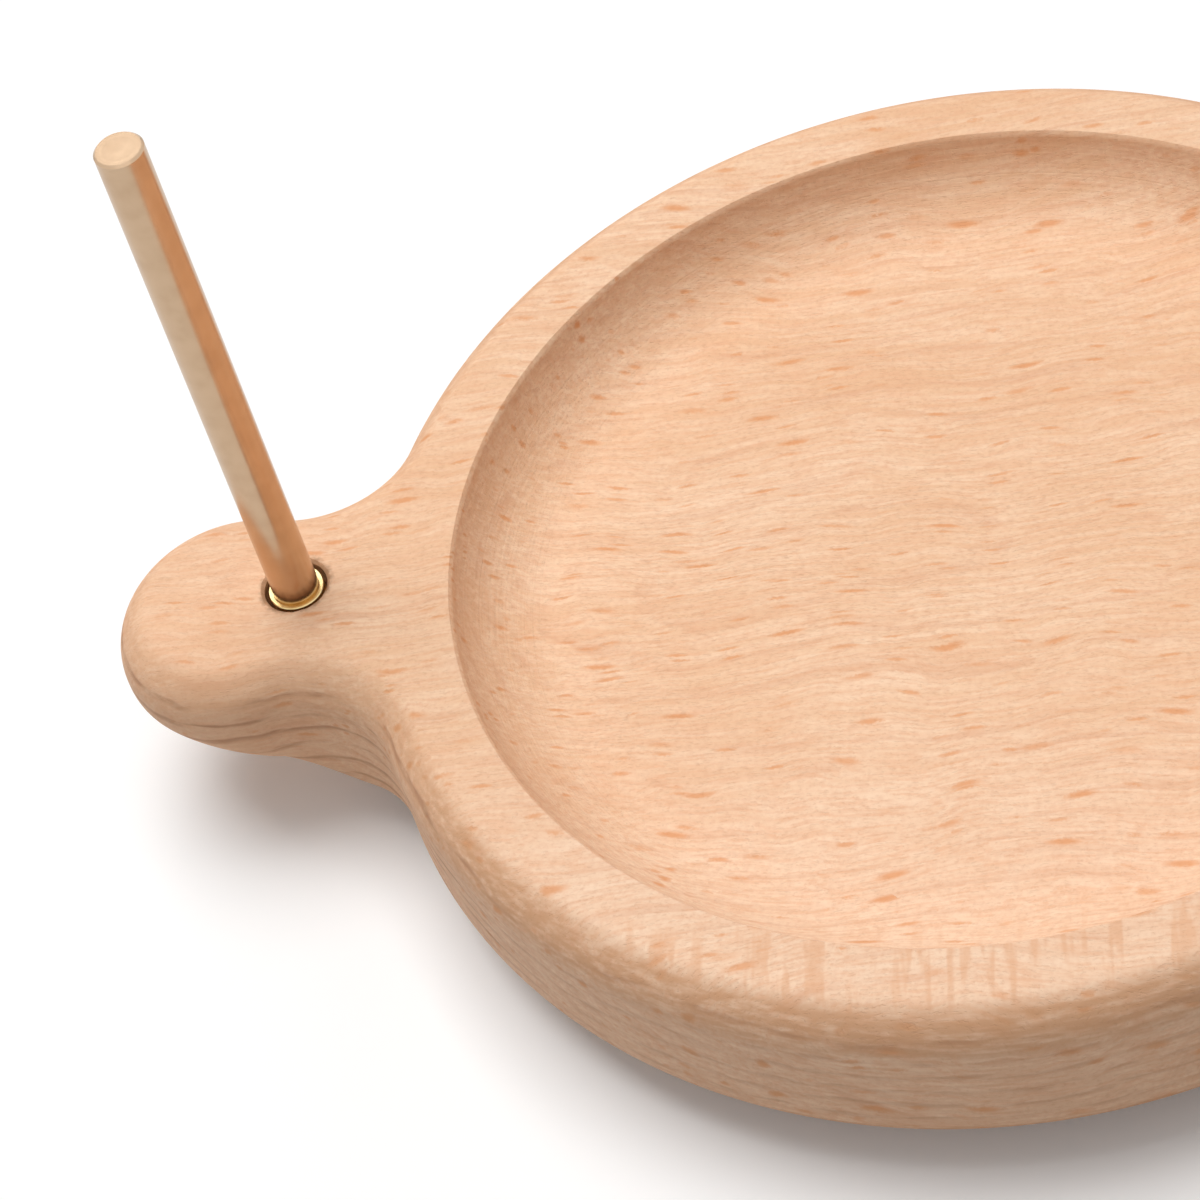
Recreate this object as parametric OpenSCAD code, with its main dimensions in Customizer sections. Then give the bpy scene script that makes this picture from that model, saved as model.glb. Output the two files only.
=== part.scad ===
// Turning yarn holder: a dished wooden plate on a slim ball ring, with a thumb
// that carries an upright brass rod. Millimetres, +Z up. The origin is on the
// axis that the plate turns about, on the surface that the holder stands on,
// and the thumb points along -X.

/* [Plate] */
// Diameter of the round plate
plate_d = 154; // [125:1:190]
// Thickness of the plate and its thumb
plate_t = 23; // [18:0.5:30]
// Round-over on the outer edges, top and bottom
edge_r = 5; // [3:0.5:6]
// Width of the flat rim around the dish
rim_w = 11.8; // [10:0.1:16]
// Depth of the dish
dish_depth = 9; // [6:0.5:10.5]
// Radius of the hollow where the dish's wall runs into its floor
dish_wall_r = 12; // [11:0.5:18]
// Small bevel on the dish's top edge
rim_ease = 0.3; // [0.2:0.1:1]

/* [Thumb] */
// Centre of the thumb's round end, outside the plate's edge
tip_out = 16.4; // [14:0.2:30]
// Radius of the thumb's round end
tip_r = 16.3; // [13:0.1:20]
// Hollow where each side of the thumb meets the plate
neck_r = 13.4; // [8:0.2:20]
// Turn of the thumb towards its front side, degrees
thumb_skew = 0.6; // [0:0.1:2]
// How much higher the thumb's underside is than the plate's
thumb_rise = 10.7; // [0:0.1:12]
// Length of the slope that leads up to it
rise_run = 23.4; // [14:0.2:30]

/* [Rod and insert] */
// Diameter of the rod
rod_d = 6; // [5.6:0.1:7.2]
// Height of the rod above the plate
rod_h = 77; // [40:1:160]
// Distance from the plate's edge out to the rod
rod_out = 8.3; // [6:0.1:14]
// Bevel on the rod's top edge
rod_bevel = 0.3; // [0.1:0.1:0.8]
// Diameter of the thread on the rod's foot
thread_d = 5; // [4:0.1:5.4]
// Pitch of that thread
thread_pitch = 0.8; // [0.5:0.05:1]
// Length of that thread
stud_l = 8.4; // [6:0.1:10]
// Diameter of the threaded insert
insert_d = 8.2; // [8:0.1:10]
// Length of the threaded insert
insert_l = 10; // [8:0.5:12]
// Depth of the insert below the plate's face
insert_sink = 0.4; // [0.2:0.1:1]
// Flutes that key the insert into the wood
flute_count = 8; // [6:1:12]

/* [Ball ring] */
// Diameter of the circle that the balls run on
track_d = 82; // [72:1:90]
// Diameter of one ball
ball_d = 4; // [3:0.1:4.8]
// Number of balls
ball_count = 32; // [16:2:36]
// Gap between the two rings
race_gap = 1.4; // [1.2:0.1:2]
// Width of each ring's wall beside the gap
race_w = 3.8; // [3.4:0.1:5]
// Width of the inner ring's flange, which the screws go through
flange_w = 11; // [9:0.5:14]
// Thickness of the inner ring's flange
flange_t = 3; // [2.5:0.1:4]
// Width of the outer ring's foot
foot_w = 6.4; // [5:0.1:9]
// Thickness of the outer ring's foot
foot_t = 2; // [1.8:0.1:2.05]
// Thickness of the cage between the rings
cage_t = 0.9; // [0.7:0.1:1]
// Diameter of the plug that closes the filling hole
plug_d = 5.2; // [5:0.1:5.4]

/* [Screws] */
// Number of screws
screw_count = 4; // [3:1:8]
// Diameter of a screw's shank
screw_d = 3.5; // [3:0.1:4]
// Diameter of a screw's countersunk head
head_d = 6.6; // [6:0.1:8]
// Wood left between a screw's point and the dish
screw_skin = 2.5; // [2:0.1:4]

/* [Stance] */
// Gap between the table and the underside of the plate
plate_gap = 5.5; // [5:0.1:8]
// Depth of the pocket in the underside that hides the ball ring
pocket_depth = 4.5; // [4:0.1:6]
// Room around the ball ring inside that pocket
pocket_room = 1.5; // [1:0.1:3]
// Thickness of the anti-slip ring
grip_t = 1.8; // [1.5:0.1:2]
// How far the anti-slip ring stands proud of the foot
grip_proud = 1; // [0.8:0.1:1.2]
// Gap that keeps the turning ring off the fixed ring and the table
run_gap = 1; // [0.8:0.1:1.5]

/* [Hidden] */
$fn = 96;

EPS = 0.01;          // overlap that joins or clears two shapes
FIT = 0.05;          // radial clearance of a part that turns or screws in
EASY = 0.15;         // clearance of a part that is dropped or pushed in
CAGE_RIM = 0.5;      // cage left above and below a ball's hole
EDGE_BREAK = 0.4;    // bevel on the rings' edges
FLUTE_SHARE = 0.35;  // part of the insert's wall that a flute cuts through
GRIP_EDGE = 1;       // foot left on each side of the anti-slip ring
POINT_L = 2;         // length of a screw's point
SLOT_W = 0.9;        // width of one bar of a screw's cross
SLOT_SPAN = 3.6;     // span of that cross
SLOT_DEPTH = 1.4;    // depth of that cross
HOLE_SPARE = 2;      // depth of the insert's hole below the insert
PLATE_STEPS = 46;    // facets around each half of the plate
TIP_STEPS = 12;      // facets around each half of the thumb's end
NECK_STEPS = 10;     // facets in each hollow beside the thumb
EDGE_STEPS = 6;      // facets in each round-over

plate_r = plate_d / 2;
dish_r = plate_r - rim_w;
plate_top = plate_gap + plate_t;
pocket_top = plate_gap + pocket_depth;
rod_x = -(plate_r + rod_out);
tip_x = plate_r + tip_out;
insert_top = plate_top - insert_sink;

track_r = track_d / 2;
ball_r = ball_d / 2;
inner_face = track_r - race_gap / 2;
outer_face = track_r + race_gap / 2;
outer_wall = outer_face + race_w;
foot_r = outer_wall + foot_w;
flange_r = inner_face - race_w - flange_w;
screw_r = inner_face - race_w - flange_w / 2;
foot_z = grip_proud;
inner_z = foot_z + run_gap + grip_t - grip_proud;
outer_top = pocket_top - run_gap;
ball_z = (inner_z + outer_top) / 2;
flange_z = pocket_top - flange_t;
groove_r = ball_r + FIT;
screw_top = plate_top - dish_depth - screw_skin;
head_l = (head_d - screw_d) / 2;
grip_in = outer_face + GRIP_EDGE + EASY;
grip_out = foot_r - GRIP_EDGE - EASY;

// The centre of the hollow touches the plate and the thumb's end at once. These give
// it, and the turns at which the hollow leaves them. The thumb points along +X here.
neck_reach = plate_r + neck_r;
neck_x = (pow(neck_reach, 2) - pow(tip_r + neck_r, 2) + tip_x * tip_x) / (2 * tip_x);
neck_y = sqrt(neck_reach * neck_reach - neck_x * neck_x);
plate_turn = atan2(neck_y, neck_x);
tip_turn = atan2(neck_y, neck_x - tip_x);

// Points along an arc, in equal steps. The first one is left out where two arcs meet.
function arc(centre, r, from, to, steps, first = 1) = [for (i = [first : steps])
    let (a = from + (to - from) * i / steps) centre + r * [cos(a), sin(a)]];

// Half of the plate and thumb seen from above, from the thumb's end round to the far
// side, with all edges moved inwards by the inset. The other half mirrors it.
function half_outline(inset) = concat(
    arc([tip_x, 0], tip_r - inset, 0, tip_turn, TIP_STEPS, 0),
    arc([neck_x, neck_y], neck_r + inset, 180 + tip_turn, 180 + plate_turn, NECK_STEPS),
    arc([0, 0], plate_r - inset, plate_turn, 180, PLATE_STEPS));
function outline(inset) = let (side = half_outline(inset)) concat(side,
    [for (i = [len(side) - 2 : -1 : 1]) [side[i][0], -side[i][1]]]);

// The underside climbs along the thumb in a smooth slope.
function slope(x) = let (t = min(max((x - plate_r) / rise_run, 0), 1)) thumb_rise * t * t * (3 - 2 * t);

// The inset, height and share of the slope at each level, from the underside to the top.
function levels() = concat(
    [for (i = [0 : EDGE_STEPS]) let (a = 90 * i / EDGE_STEPS)
        [edge_r * (1 - sin(a)), edge_r * (1 - cos(a)), 1]],
    [for (i = [0 : EDGE_STEPS]) let (a = 90 * i / EDGE_STEPS)
        [edge_r * (1 - cos(a)), plate_t - edge_r * (1 - sin(a)), 0]]);

// The underside and the top are strips across the outline, so each strip is flat.
module plate_blank() {
    rises = [for (p = outline(edge_r)) slope(p[0])];
    count = len(rises);
    half = count / 2;
    top = (len(levels()) - 1) * count;
    points = [for (level = levels()) let (ring = outline(level[0])) for (i = [0 : count - 1])
        [ring[i][0], ring[i][1], level[1] + level[2] * rises[i]]];
    walls = [for (low = [0 : count : top - 1], i = [0 : count - 1])
        let (a = low + i, b = low + (i + 1) % count) each [[a, a + count, b + count], [a, b + count, b]]];
    under = concat([for (i = [0 : half - 2]) [i, i + 1, count - i - 1]],
        [for (i = [1 : half - 1]) [count - i - 1, count - i, i]]);
    over = [for (corners = under) [for (c = [2 : -1 : 0]) top + corners[c]]];
    rotate([0, 0, 180 + thumb_skew]) polyhedron(points, concat(walls, under, over), convexity = 4);
}

// The dish: a flat floor, a hollow wall, and a small bevel at the top edge.
function wall_run(rise) = sqrt(pow(dish_wall_r, 2) - pow(dish_wall_r - rise, 2));

module dish_cutter() {
    floor_r = dish_r - wall_run(dish_depth);
    ease_z = dish_depth - rim_ease;
    ease_r = floor_r + wall_run(ease_z);
    above = dish_depth + rim_ease;
    translate([0, 0, plate_top - dish_depth]) rotate_extrude() {
        square([floor_r, above]);
        translate([floor_r, dish_wall_r]) intersection() {
            circle(dish_wall_r);
            translate([0, -dish_wall_r]) square([dish_wall_r, ease_z]);
        }
        polygon([[0, ease_z], [ease_r, ease_z], [ease_r + 2 * rim_ease, above], [0, above]]);
    }
}

module at_screws() {
    for (i = [0 : screw_count - 1])
        rotate([0, 0, (i + 0.5) * 360 / screw_count]) translate([screw_r, 0, 0]) children();
}

// A countersunk screw's outline from its head up to its point.
module screw_body(room) {
    shank_r = screw_d / 2 + room;
    tip_z = screw_top + room;
    rotate_extrude() polygon([[0, flange_z], [head_d / 2 + room, flange_z],
        [shank_r, flange_z + head_l], [shank_r, tip_z - POINT_L], [room, tip_z], [0, tip_z]]);
}

// The groove that the balls run in.
module ball_track() {
    translate([0, 0, ball_z]) rotate_extrude() translate([track_r, 0]) circle(groove_r);
}

// A turned ring with its four corners bevelled.
module bevelled_ring(inner, outer, low, high) {
    rotate_extrude() polygon([[inner + EDGE_BREAK, low], [outer - EDGE_BREAK, low],
        [outer, low + EDGE_BREAK], [outer, high - EDGE_BREAK], [outer - EDGE_BREAK, high],
        [inner + EDGE_BREAK, high], [inner, high - EDGE_BREAK], [inner, low + EDGE_BREAK]]);
}

module plain_ring(inner, outer, low, high) {
    translate([inner, 0]) square([outer - inner, high - low]);
}

module base_plate() {
    color("burlywood") difference() {
        translate([0, 0, plate_gap]) plate_blank();
        dish_cutter();
        translate([0, 0, plate_gap - EPS]) cylinder(h = pocket_depth + EPS, r = outer_wall + pocket_room);
        translate([rod_x, 0, insert_top - insert_l - HOLE_SPARE])
            cylinder(h = insert_l + insert_sink + HOLE_SPARE + EPS, d = insert_d);
        at_screws() screw_body(FIT);
    }
}

module threaded_insert() {
    wall = (insert_d - thread_d) / 2;
    flute_r = wall * FLUTE_SHARE;
    color("gold") translate([rod_x, 0, insert_top - insert_l]) difference() {
        cylinder(h = insert_l, d = insert_d);
        translate([0, 0, -EPS]) cylinder(h = insert_l + 2 * EPS, d = thread_d);
        for (i = [0 : flute_count - 1]) rotate([0, 0, (i + 0.5) * 360 / flute_count])
            translate([insert_d / 2, 0, -EPS]) cylinder(h = insert_l + 2 * EPS, r = flute_r);
    }
}

// The rod's foot carries its thread as plain ridges, one pitch apart.
module yarn_rod() {
    crest = thread_d / 2 - FIT;
    root = crest - thread_pitch / 2;
    turns = floor(stud_l / thread_pitch) - 1;
    ridges = [for (i = [0 : turns - 1], k = [0, 1])
        [k == 0 ? crest : root, -stud_l + (i + 1 + k / 2) * thread_pitch]];
    color("goldenrod") translate([rod_x, 0, insert_top]) rotate_extrude()
        polygon(concat([[0, -stud_l], [root, -stud_l]], ridges, [[root, 0], [rod_d / 2, 0],
            [rod_d / 2, rod_h + insert_sink - rod_bevel],
            [rod_d / 2 - rod_bevel, rod_h + insert_sink], [0, rod_h + insert_sink]]));
}

module bearing_inner_ring() {
    color("silver") difference() {
        union() {
            bevelled_ring(inner_face - race_w, inner_face, inner_z, pocket_top);
            bevelled_ring(flange_r, inner_face - EDGE_BREAK, flange_z, pocket_top);
        }
        ball_track();
        at_screws() screw_body(FIT);
    }
}

module bearing_outer_ring() {
    color("silver") difference() {
        union() {
            bevelled_ring(outer_face, outer_wall, foot_z, outer_top);
            bevelled_ring(outer_face + EDGE_BREAK, foot_r, foot_z, foot_z + foot_t);
        }
        ball_track();
        translate([0, 0, foot_z - EPS]) rotate_extrude()
            plain_ring(grip_in - EASY, grip_out + EASY, 0, grip_t - grip_proud + EPS);
        translate([0, 0, ball_z]) rotate([0, 90, 0]) cylinder(h = outer_wall + EPS, r = plug_d / 2 + FIT);
    }
}

module at_balls() {
    for (i = [0 : ball_count - 1])
        rotate([0, 0, i * 360 / ball_count]) translate([track_r, 0, ball_z]) children();
}

module bearing_balls() {
    color("lightgray") at_balls() sphere(ball_r);
}

module ball_cage() {
    cage_h = ball_d + 2 * FIT + 2 * CAGE_RIM;
    color("ivory") difference() {
        translate([0, 0, ball_z - cage_h / 2]) rotate_extrude()
            plain_ring(track_r - cage_t / 2, track_r + cage_t / 2, 0, cage_h);
        at_balls() rotate([0, 90, 0]) cylinder(h = race_gap, r = ball_r + FIT, center = true);
    }
}

module filling_plug() {
    color("ivory") difference() {
        translate([outer_face + EASY, 0, ball_z]) rotate([0, 90, 0])
            cylinder(h = race_w - 2 * EASY, d = plug_d);
        ball_track();
    }
}

module ring_screws() {
    color("gainsboro") at_screws() difference() {
        screw_body(0);
        for (turn = [0, 90]) translate([0, 0, flange_z + SLOT_DEPTH / 2]) rotate([0, 0, turn])
            cube([SLOT_SPAN, SLOT_W, SLOT_DEPTH + 2 * EPS], center = true);
    }
}

module grip_ring() {
    color("dimgray") rotate_extrude() plain_ring(grip_in, grip_out, 0, grip_t);
}

base_plate();
threaded_insert();
yarn_rod();
bearing_inner_ring();
bearing_outer_ring();
bearing_balls();
ball_cage();
filling_plug();
ring_screws();
grip_ring();
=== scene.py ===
# %% [markdown]
# # A turning yarn holder in beech and brass
# The object is a dished beech plate that turns on a slim ball ring hidden under it.
# A thumb of the same board carries an upright brass rod that the yarn runs past.
# The frame below is the exact engineering model. Every size in this lesson is read
# from it or agrees with it, so each new piece drops into its real place.

# %% Load the frame
import math

import bmesh
import bpy
import numpy as np
from mathutils import Matrix, Vector


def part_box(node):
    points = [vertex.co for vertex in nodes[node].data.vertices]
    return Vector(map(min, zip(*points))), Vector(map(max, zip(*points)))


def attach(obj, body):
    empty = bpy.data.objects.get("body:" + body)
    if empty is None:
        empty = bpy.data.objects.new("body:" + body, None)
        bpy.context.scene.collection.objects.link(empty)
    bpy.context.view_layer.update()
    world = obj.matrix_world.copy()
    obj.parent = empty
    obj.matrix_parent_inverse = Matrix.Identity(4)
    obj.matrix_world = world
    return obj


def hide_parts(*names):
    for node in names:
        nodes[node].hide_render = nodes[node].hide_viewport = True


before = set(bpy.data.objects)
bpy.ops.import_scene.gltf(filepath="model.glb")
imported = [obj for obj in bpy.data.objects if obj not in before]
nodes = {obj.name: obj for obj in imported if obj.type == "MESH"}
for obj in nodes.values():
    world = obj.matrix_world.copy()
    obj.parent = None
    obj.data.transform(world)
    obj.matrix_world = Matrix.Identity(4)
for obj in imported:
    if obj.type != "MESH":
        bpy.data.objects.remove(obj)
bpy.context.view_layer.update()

# %% [markdown]
# ## Sizes
# A turner works from a short list of numbers. The plate's rim, its underside and the
# rod's place come from the frame's boxes. The curves between them can't be read from a
# box, so they are written here once, in metres.

# %% Sizes
MM = 0.001
plate_low, plate_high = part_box("base_plate")
rod_low, rod_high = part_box("yarn_rod")
insert_low, insert_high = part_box("threaded_insert")

underside, top = plate_low.z, plate_high.z
rod_x = (rod_low.x + rod_high.x) / 2
rod_r = (rod_high.x - rod_low.x) / 2

PLATE_R = 77 * MM                           # the frame's plate has flats, so its box is a hair under
EDGE_R = 5 * MM                             # round-over on the lower outer edge
TOP_EDGE_R, CREASE = 7 * MM, math.radians(20)    # the upper one starts at a faint crease
DISH_R = PLATE_R - 11.8 * MM                # the dish's edge
DISH_DEPTH = 9 * MM
WALL_R = 12 * MM                            # the hollow that joins wall and floor
RIM_EASE = 0.3 * MM                         # the eased edge between rim and dish
TIP_X, TIP_R = PLATE_R + 16.4 * MM, 16.3 * MM    # the thumb's round end
NECK_R = 13.4 * MM                          # the hollow on each side of the thumb
THUMB_SKEW = math.radians(0.6)              # the thumb points this much off the plate's axis
THUMB_RISE, RISE_RUN = 10.7 * MM, 23.4 * MM      # its underside climbs in a slope
POCKET_R, POCKET_DEPTH = 47 * MM, 4.5 * MM  # the recess that hides the ball ring
POCKET_EDGE = 0.4 * MM                      # its edge, just broken
SCREW_CIRCLE, SCREW_HOLE_R, SCREW_HOLE_DEPTH = 31 * MM, 1.8 * MM, 7.05 * MM
DRILL_POINT = 2 * MM                        # height of the cone that a drill leaves
ROD_HOLE_R, ROD_HOLE_DEPTH = 4.1 * MM, 12.4 * MM
TORN_EDGE = 0.4 * MM                        # how far its mouth is torn by the insert
print(f"plate {2000 * PLATE_R:.1f} across, the frame's {2000 * plate_high.x:.1f}; "
      f"{1000 * (top - underside):.1f} thick; rod {2000 * rod_r:.2f} across")

# %% [markdown]
# ## The outline
# On the real board the outline is sawn, then sanded against a drum. It is made of
# arcs that meet without a corner: the plate, the thumb's round end, and a hollow on
# each side between them. The thumb's underside is cut away in a slope, so that a thumb
# of this length doesn't look heavy. Points along the arcs, and how far the underside has
# climbed at each, are all that the later steps need, so plain Python works them out.

# %% Outline points
TIP_STEPS, NECK_STEPS, PLATE_STEPS = 60, 44, 176     # points along each arc of one side


def arc(centre, radius, start, stop, steps):
    """Points along an arc, in equal steps, both ends included."""
    turn = np.linspace(start, stop, steps + 1)
    return np.array(centre) + radius * np.c_[np.cos(turn), np.sin(turn)]


def outline(inset=0.0):
    """The plate and thumb from above, anticlockwise from the thumb's end, thumb along +X."""
    reach = PLATE_R + NECK_R
    neck_x = (reach**2 - (TIP_R + NECK_R) ** 2 + TIP_X**2) / (2 * TIP_X)
    neck_y = math.sqrt(reach**2 - neck_x**2)
    plate_turn, tip_turn = math.atan2(neck_y, neck_x), math.atan2(neck_y, neck_x - TIP_X)
    side = np.vstack([
        arc((TIP_X, 0), TIP_R - inset, 0, tip_turn, TIP_STEPS),
        arc((neck_x, neck_y), NECK_R + inset, math.pi + tip_turn, math.pi + plate_turn, NECK_STEPS)[1:],
        arc((0, 0), PLATE_R - inset, plate_turn, math.pi, PLATE_STEPS)[1:]])
    return np.vstack([side, (side * (1, -1))[-2:0:-1]])


def slope(x):
    """How far the underside has climbed at a distance along the thumb."""
    share = np.clip((x - PLATE_R) / RISE_RUN, 0, 1)
    return THUMB_RISE * share**2 * (3 - 2 * share)


turn = math.pi + THUMB_SKEW
to_the_left = np.array([[math.cos(turn), math.sin(turn)], [-math.sin(turn), math.cos(turn)]])
board_outline = outline() @ to_the_left
board_rise = slope(outline(EDGE_R)[:, 0])
thumb_rows = int(np.argmin(board_rise > 0)) + 1
print(f"outline: {len(board_outline)} points, from x {1000 * board_outline[:, 0].min():.2f}; "
      f"the slope reaches over {thumb_rows} of them on each side")

# %% [markdown]
# ## A short way to write node trees
# The pieces that follow a rule are made by Geometry Nodes, and every finish is a shader
# tree. Both kinds of tree are only nodes and links, so one small helper serves both. It
# adds a node, sets its properties, and either links or sets each input.

# %% Node helpers


def add(tree, kind, inputs=None, **settings):
    """Adds a node. Its inputs are given by name or number, as a socket or a value."""
    made = tree.nodes.new(kind)
    for name, value in settings.items():
        setattr(made, name, value)
    for key, value in (inputs or {}).items():
        if isinstance(value, bpy.types.NodeSocket):
            tree.links.new(value, made.inputs[key])
        else:
            made.inputs[key].default_value = value
    return made


def maths(tree, operation, *values, **settings):
    """One Math node's result."""
    made = add(tree, "ShaderNodeMath", dict(enumerate(values)), operation=operation, **settings)
    return made.outputs[0]


def vector(tree, x=0.0, y=0.0, z=0.0):
    return add(tree, "ShaderNodeCombineXYZ", {0: x, 1: y, 2: z}).outputs[0]


def new_tree(name, kind, inputs, outputs):
    """An empty node group with named sockets. Each socket is (name, type, value or None)."""
    tree = bpy.data.node_groups.new(name, kind)
    for direction, sockets in (("INPUT", inputs), ("OUTPUT", outputs)):
        for socket_name, socket_type, value in sockets:
            socket = tree.interface.new_socket(
                socket_name, in_out=direction, socket_type="NodeSocket" + socket_type)
            if value is not None:
                socket.default_value = value
    return tree, tree.nodes.new("NodeGroupInput").outputs, tree.nodes.new("NodeGroupOutput").inputs


# %% [markdown]
# ## Sweeps and turnings
# Two shop operations make nearly all of this object. A router follows an outline with a
# shaped cutter, and a lathe turns a profile about an axis. Both are Blender's Curve to
# Mesh: the path is the outline or a circle, and the profile is drawn beside it. With the
# path's normals kept level, a profile's X points outwards and its Y points down.

# %% Sweep and turning helpers
EDGE_STEPS, SIDE_STEPS, WALL_STEPS = 14, 6, 30       # along an edge, the upright side, the dish's wall
AROUND = 192                                # points around a large turned shape
SMALL_AROUND, SCREW_AROUND = 96, 24         # around the rod's hole, and around a screw hole
WELD = 0.002 * MM                           # points this near become one


def line(tree, a, b, steps=1):
    """A straight piece of profile from a to b, each (outwards, up)."""
    ends = [vector(tree, x, maths(tree, "MULTIPLY", z, -1.0)) for x, z in (a, b)]
    piece = add(tree, "GeometryNodeCurvePrimitiveLine", {"Start": ends[0], "End": ends[1]}).outputs[0]
    if steps == 1:
        return piece
    return add(tree, "GeometryNodeResampleCurve", {"Curve": piece, "Count": steps + 1}).outputs[0]


def bend(tree, x, z, radius, start, sweep, steps):
    """A round piece of profile about (x outwards, z up). Angles start outwards and grow downwards."""
    piece = add(tree, "GeometryNodeCurveArc",
                {"Resolution": steps + 1, "Radius": radius, "Start Angle": start, "Sweep Angle": sweep},
                mode="RADIUS").outputs[0]
    place = vector(tree, x, maths(tree, "MULTIPLY", z, -1.0))
    return add(tree, "GeometryNodeTransform", {"Geometry": piece, "Translation": place}).outputs[0]


def join(tree, pieces):
    joined = add(tree, "GeometryNodeJoinGeometry")
    for piece in pieces:
        tree.links.new(piece, joined.inputs[0])
    return joined.outputs[0]


def level_path(tree, path):
    return add(tree, "GeometryNodeSetCurveNormal", {"Curve": path}, mode="Z_UP").outputs[0]


def circle(tree, radius, steps=AROUND):
    return level_path(tree, add(tree, "GeometryNodeCurvePrimitiveCircle",
                                {"Resolution": steps, "Radius": radius}).outputs[0])


def sweep(tree, path, pieces):
    return add(tree, "GeometryNodeCurveToMesh",
               {"Curve": path, "Profile Curve": join(tree, pieces)}).outputs["Mesh"]


def move(tree, geometry, x=0.0, z=0.0):
    return add(tree, "GeometryNodeTransform",
               {"Geometry": geometry, "Translation": vector(tree, x, 0.0, z)}).outputs[0]


def finish_tree(tree, pieces, material, result):
    """Joins the pieces, welds their shared edges, and gives them their material."""
    real = add(tree, "GeometryNodeRealizeInstances", {0: join(tree, pieces)}).outputs[0]
    welded = add(tree, "GeometryNodeMergeByDistance", {"Geometry": real, "Distance": WELD}).outputs[0]
    coated = add(tree, "GeometryNodeSetMaterial", {"Geometry": welded, "Material": material}).outputs[0]
    tree.links.new(coated, result)


def build(tree, base, name, body, slot, replaced, sharp_above, **sizes):
    """Runs a tree on a base mesh and keeps the result as a plain closed mesh that rides on a body."""
    maker = bpy.data.objects.new(name, base)
    bpy.context.scene.collection.objects.link(maker)
    modifier = maker.modifiers.new("shape", "NODES")
    modifier.node_group = tree
    for item in tree.interface.items_tree:
        if item.in_out == "INPUT" and item.name in sizes:
            modifier[item.identifier] = sizes[item.name]
    graph = bpy.context.evaluated_depsgraph_get()
    shape = bpy.data.meshes.new_from_object(maker.evaluated_get(graph), depsgraph=graph)
    maker.modifiers.clear()
    bm = bmesh.new()
    bm.from_mesh(shape)
    bmesh.ops.delete(bm, geom=[edge for edge in bm.edges if edge.is_wire], context="EDGES")
    bmesh.ops.recalc_face_normals(bm, faces=bm.faces)
    open_edges = sum(not edge.is_manifold for edge in bm.edges)
    volume = bm.calc_volume() * 1e6
    bm.to_mesh(shape)
    bm.free()
    shape.polygons.foreach_set("use_smooth", [True] * len(shape.polygons))
    shape.set_sharp_from_angle(angle=math.radians(sharp_above))
    maker.data = shape
    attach(maker, body)
    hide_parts(replaced)
    print(f"{name}: {len(shape.polygons)} faces, {open_edges} open edges, {volume:.2f} cm3")


# %% [markdown]
# ## The board
# The board is one piece of beech: sawn out, dished on a lathe or a router, rounded over
# on its outer edges, and drilled. Sculpting it from a cylinder would leave ripples where
# the thumb joins. A node tree keeps each cut exact: the outline is swept with a rounded
# edge, the dish and the pocket under it are turned, and flat faces fill what is left. A
# narrow flat band beside each curve keeps the shading of the flat faces true.
#
# The upper round-over doesn't run quite flat into the rim. The cutter was set a little too
# deep, so its arc starts at an angle and leaves a faint crease all round the board.

# %% The board's tree
BAND = 0.6 * MM                             # flat band beside a curve
QUARTER = math.pi / 2
SIZES = (
    "Edge Radius", "Top Edge Radius", "Crease", "Underside", "Top",
    "Dish Radius", "Dish Depth", "Wall Radius", "Rim Ease",
    "Pocket Radius", "Pocket Depth", "Screw Circle", "Screw Hole Radius", "Screw Hole Depth",
    "Rod Hole Place", "Rod Hole Radius", "Rod Hole Depth", "Torn Edge")
board_tree, take, give = new_tree(
    "board from outline", "GeometryNodeTree",
    [("Outline", "Geometry", None), ("Thumb Rows", "Int", None)] + [(size, "Float", None) for size in SIZES]
    + [("Wood", "Material", None)],
    [("Board", "Geometry", None)])
t = board_tree


def m(operation, *values):
    return maths(board_tree, operation, *values)


edge, low, high = take["Edge Radius"], take["Underside"], take["Top"]
inner = m("MULTIPLY", edge, -1.0)
path = level_path(t, add(t, "GeometryNodeMeshToCurve", {"Mesh": take["Outline"]}).outputs[0])
band_in = m("SUBTRACT", inner, BAND)
top_edge, crease = take["Top Edge Radius"], take["Crease"]
crease_in = m("MULTIPLY", top_edge, m("SUBTRACT", m("SINE", crease), 1.0))
shoulder = m("SUBTRACT", high, m("MULTIPLY", top_edge, m("COSINE", crease)))
edge_profile = [
    line(t, (band_in, high), (crease_in, high)),
    bend(t, m("MULTIPLY", top_edge, -1.0), shoulder, top_edge,
         m("SUBTRACT", crease, QUARTER), m("SUBTRACT", QUARTER, crease), EDGE_STEPS),
    line(t, (0.0, shoulder), (0.0, m("ADD", low, edge)), SIDE_STEPS),
    bend(t, inner, m("ADD", low, edge), edge, 0.0, QUARTER, EDGE_STEPS),
    line(t, (inner, low), (band_in, low)),
]
outer_edge = sweep(t, path, edge_profile)

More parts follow.
